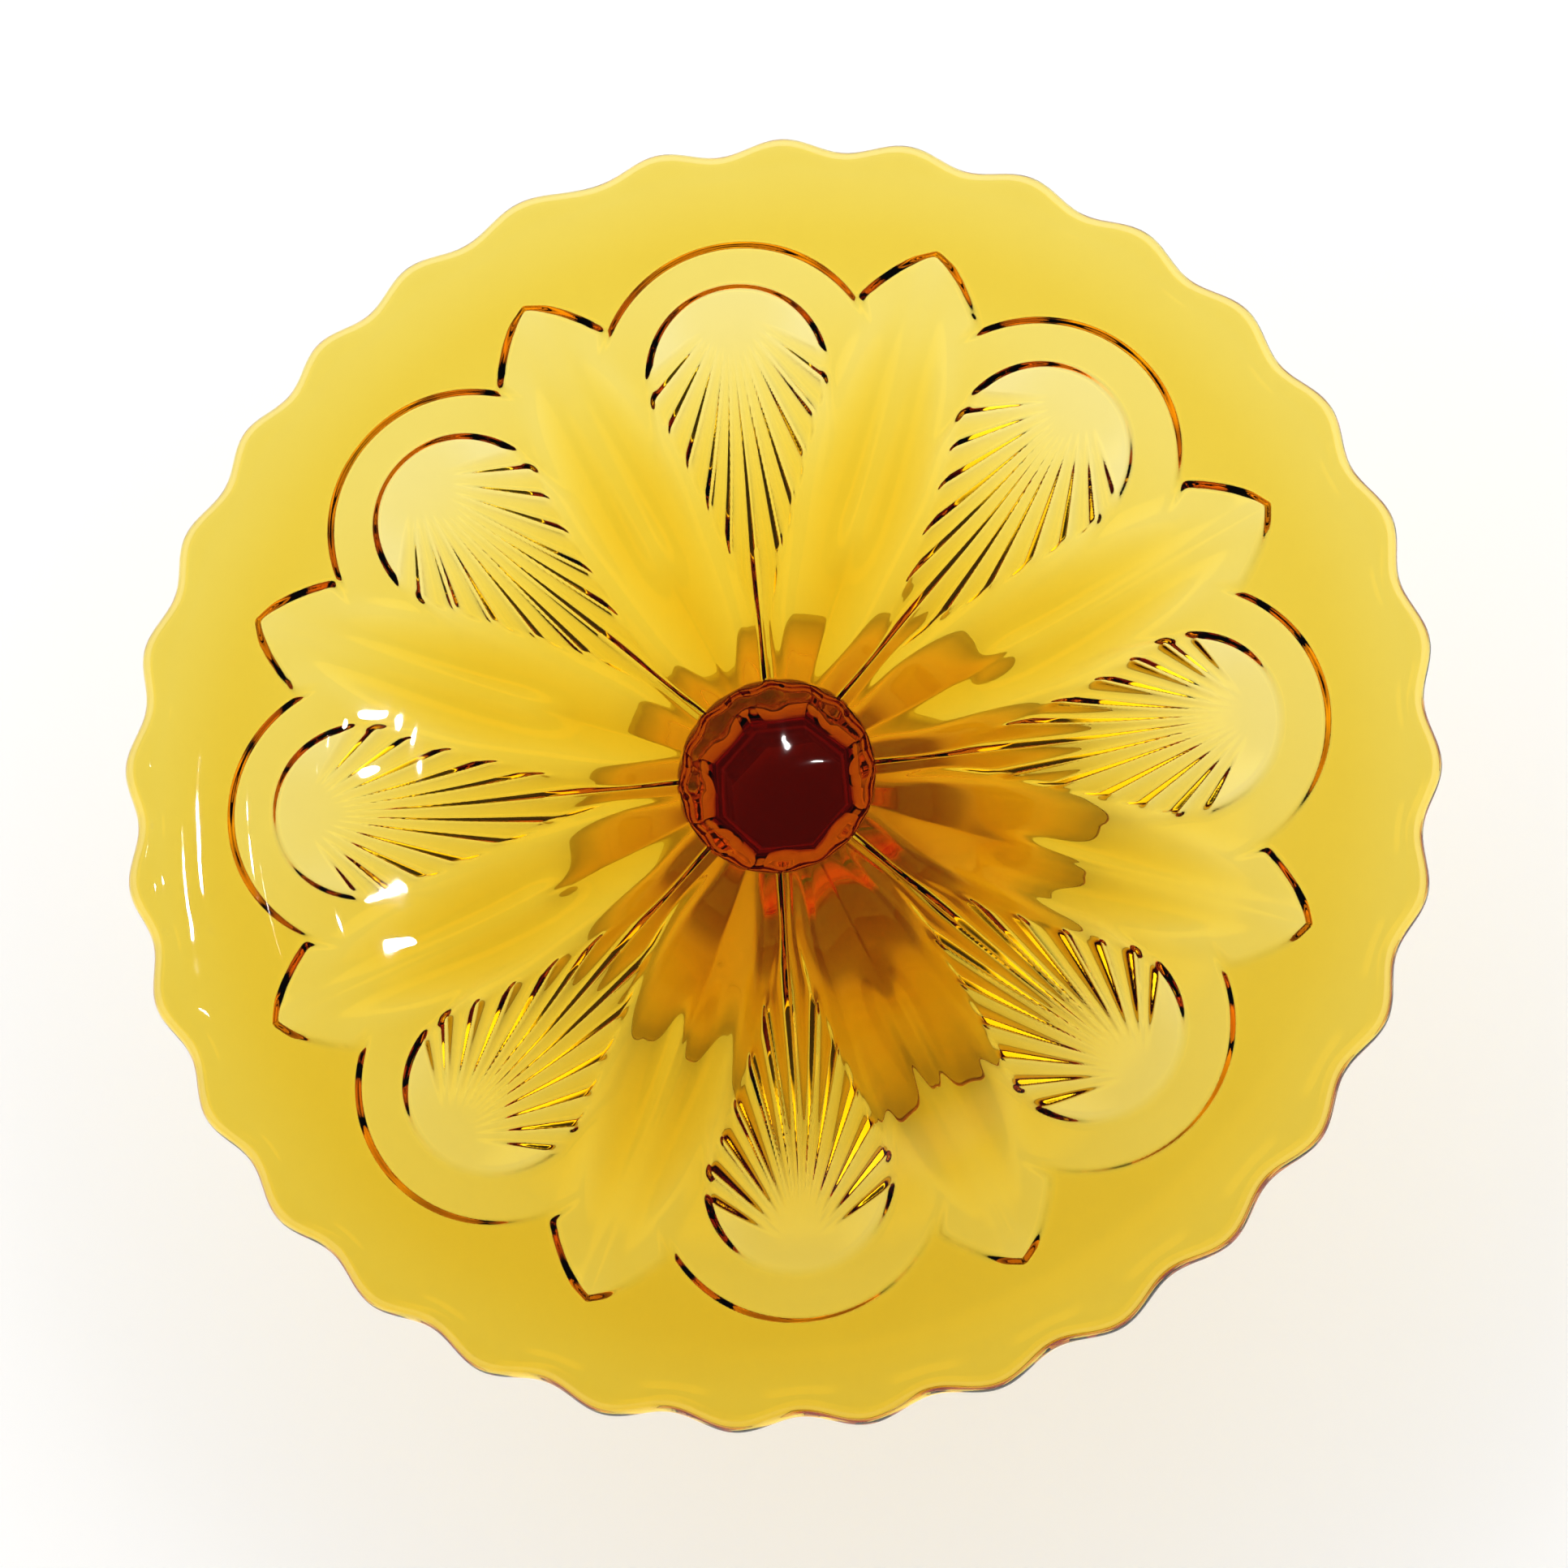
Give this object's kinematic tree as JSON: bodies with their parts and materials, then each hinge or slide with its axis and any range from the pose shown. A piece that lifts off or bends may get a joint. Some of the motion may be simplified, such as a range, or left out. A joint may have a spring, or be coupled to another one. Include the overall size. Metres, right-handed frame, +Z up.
{
  "type": "footed candy dish",
  "caption": "Shallow round dish of amber pressed glass with a scalloped rim and a rosette of fans and petals under it, on an eight-sided stem and a round foot.",
  "frame": {"origin": "middle of the foot's underside, on the surface the dish stands on", "axes": "+Z up along the stem; +X along the middle of one petal of the rosette"},
  "size_m": [0.1642, 0.1642, 0.062],
  "materials": {
    "bowl_glass": "clear amber pressed glass, fire-polished above, moulded rosette below",
    "stem_glass": "clear amber pressed glass, dark where it is thick",
    "foot_glass": "clear amber pressed glass"
  },
  "bodies": {
    "root": {"bowl": "bowl_glass", "stem": "stem_glass", "foot": "foot_glass"}
  },
  "joints": []
}
